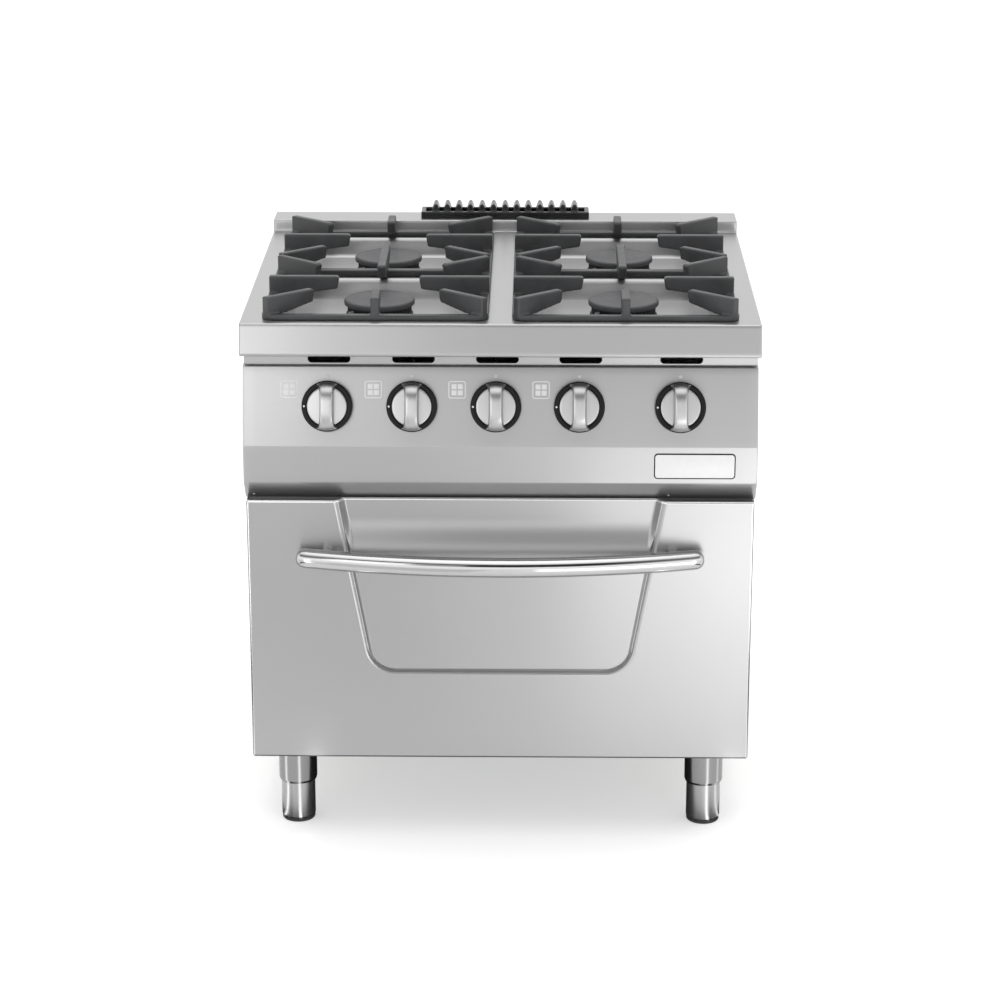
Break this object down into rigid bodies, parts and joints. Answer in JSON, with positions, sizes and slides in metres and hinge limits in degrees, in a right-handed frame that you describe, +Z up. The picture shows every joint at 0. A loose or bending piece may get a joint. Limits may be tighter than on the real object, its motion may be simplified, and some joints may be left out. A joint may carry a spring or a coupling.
{
  "type": "commercial gas range",
  "caption": "Free-standing stainless gas range: open cast-iron hob burners, sloped knob panel, drop-down oven door with bowed handle, levelling legs.",
  "frame": {"origin": "centre of the bounding box in X and Y, on the floor", "axes": "+Z up, the front with the knobs and oven door faces -Y, +X to the viewer's right"},
  "size_m": [0.8, 0.7764, 0.895],
  "materials": {
    "brushed_stainless": "satin",
    "polished_stainless": "polished",
    "galvanised_steel": "dull",
    "black_cast_iron": "matt enamel",
    "burner_iron": "matt",
    "dark_enamel": "gloss enamel",
    "plate_white": "satin",
    "brass": "machined",
    "copper": "drawn",
    "cast_aluminium": "cast",
    "mineral_wool": "fibrous",
    "gasket_rope": "braided",
    "bright_wire": "bright",
    "spring_steel": "oiled",
    "black_rubber": "matt",
    "black_plastic": "satin",
    "satin_silver": "brushed"
  },
  "bodies": {
    "chassis": {"base_frame": "galvanised_steel", "leg_sleeves": "brushed_stainless", "side_panels": "brushed_stainless", "back_panel": "galvanised_steel", "hob_top": "brushed_stainless", "spill_wells": "brushed_stainless", "front_vent_rail": "brushed_stainless", "control_panel": "brushed_stainless", "name_plate": "plate_white", "gas_manifold": "galvanised_steel", "gas_taps": "brass", "gas_feed_pipes": "copper", "burner_venturis": "cast_aluminium", "burner_heads": "burner_iron", "burner_caps": "burner_iron", "pilot_burners": "brass", "flue_duct": "galvanised_steel", "flue_cover": "black_cast_iron", "oven_cavity": "dark_enamel", "oven_insulation": "mineral_wool", "oven_front_frame": "brushed_stainless", "oven_gasket": "gasket_rope", "oven_floor_plate": "dark_enamel", "oven_burner": "galvanised_steel", "shelf_racks": "bright_wire", "oven_shelf": "bright_wire", "hinge_brackets": "galvanised_steel", "hinge_pins": "spring_steel", "door_springs": "spring_steel"},
    "oven_door": {"door_skin": "brushed_stainless", "door_liner": "brushed_stainless", "door_insulation": "mineral_wool", "door_handle": "polished_stainless", "handle_posts": "polished_stainless", "hinge_arms": "galvanised_steel"},
    "left_grate": {"grate_left": "black_cast_iron"},
    "right_grate": {"grate_right": "black_cast_iron"},
    "levelling_foot_front_left": {"foot_front_left": "brushed_stainless", "foot_pad_front_left": "black_rubber"},
    "levelling_foot_front_right": {"foot_front_right": "brushed_stainless", "foot_pad_front_right": "black_rubber"},
    "levelling_foot_rear_left": {"foot_rear_left": "brushed_stainless", "foot_pad_rear_left": "black_rubber"},
    "levelling_foot_rear_right": {"foot_rear_right": "brushed_stainless", "foot_pad_rear_right": "black_rubber"},
    "spindle_1": {"tap_spindle_1": "brass"},
    "knob_1": {"knob_skirt_1": "black_plastic", "knob_grip_1": "satin_silver"},
    "spindle_2": {"tap_spindle_2": "brass"},
    "knob_2": {"knob_skirt_2": "black_plastic", "knob_grip_2": "satin_silver"},
    "spindle_3": {"tap_spindle_3": "brass"},
    "knob_3": {"knob_skirt_3": "black_plastic", "knob_grip_3": "satin_silver"},
    "spindle_4": {"tap_spindle_4": "brass"},
    "knob_4": {"knob_skirt_4": "black_plastic", "knob_grip_4": "satin_silver"},
    "spindle_5": {"tap_spindle_5": "brass"},
    "knob_5": {"knob_skirt_5": "black_plastic", "knob_grip_5": "satin_silver"}
  },
  "joints": [
    {"name": "oven_door_hinge", "type": "hinge", "parent": "chassis", "child": "oven_door", "pos_m": [0, -0.28175, 0.15], "axis": [1, 0, 0], "range_deg": [0, 90], "stiffness_Nm_per_rad": 7, "springref_deg": -34.38},
    {"name": "left_grate_lift", "type": "slide", "parent": "chassis", "child": "left_grate", "axis": [0, 0, 1], "range_m": [0, 0.12]},
    {"name": "right_grate_lift", "type": "slide", "parent": "chassis", "child": "right_grate", "axis": [0, 0, 1], "range_m": [0, 0.12]},
    {"name": "foot_front_left_adjust", "type": "slide", "parent": "chassis", "child": "levelling_foot_front_left", "axis": [0, 0, -1], "range_m": [0, 0.03]},
    {"name": "foot_front_right_adjust", "type": "slide", "parent": "chassis", "child": "levelling_foot_front_right", "axis": [0, 0, -1], "range_m": [0, 0.03]},
    {"name": "foot_rear_left_adjust", "type": "slide", "parent": "chassis", "child": "levelling_foot_rear_left", "axis": [0, 0, -1], "range_m": [0, 0.03]},
    {"name": "foot_rear_right_adjust", "type": "slide", "parent": "chassis", "child": "levelling_foot_rear_right", "axis": [0, 0, -1], "range_m": [0, 0.03]},
    {"name": "knob_1_push", "type": "slide", "parent": "chassis", "child": "spindle_1", "axis": [0, 0.9648, -0.2631], "range_m": [0, 0.0035], "stiffness_N_per_m": 2000, "springref_m": -0.002},
    {"name": "knob_1_turn", "type": "hinge", "parent": "spindle_1", "child": "knob_1", "pos_m": [-0.2665, -0.29539, 0.717], "axis": [0, -0.9648, 0.2631], "range_deg": [0, 210]},
    {"name": "knob_2_push", "type": "slide", "parent": "chassis", "child": "spindle_2", "axis": [0, 0.9648, -0.2631], "range_m": [0, 0.0035], "stiffness_N_per_m": 2000, "springref_m": -0.002},
    {"name": "knob_2_turn", "type": "hinge", "parent": "spindle_2", "child": "knob_2", "pos_m": [-0.136, -0.29539, 0.717], "axis": [0, -0.9648, 0.2631], "range_deg": [0, 210]},
    {"name": "knob_3_push", "type": "slide", "parent": "chassis", "child": "spindle_3", "axis": [0, 0.9648, -0.2631], "range_m": [0, 0.0035], "stiffness_N_per_m": 2000, "springref_m": -0.002},
    {"name": "knob_3_turn", "type": "hinge", "parent": "spindle_3", "child": "knob_3", "pos_m": [-0.0065, -0.29539, 0.717], "axis": [0, -0.9648, 0.2631], "range_deg": [0, 210]},
    {"name": "knob_4_push", "type": "slide", "parent": "chassis", "child": "spindle_4", "axis": [0, 0.9648, -0.2631], "range_m": [0, 0.0035], "stiffness_N_per_m": 2000, "springref_m": -0.002},
    {"name": "knob_4_turn", "type": "hinge", "parent": "spindle_4", "child": "knob_4", "pos_m": [0.122, -0.29539, 0.717], "axis": [0, -0.9648, 0.2631], "range_deg": [0, 210]},
    {"name": "knob_5_push", "type": "slide", "parent": "chassis", "child": "spindle_5", "axis": [0, 0.9648, -0.2631], "range_m": [0, 0.0035], "stiffness_N_per_m": 2000, "springref_m": -0.002},
    {"name": "knob_5_turn", "type": "hinge", "parent": "spindle_5", "child": "knob_5", "pos_m": [0.2775, -0.29539, 0.717], "axis": [0, -0.9648, 0.2631], "range_deg": [0, 300]}
  ]
}
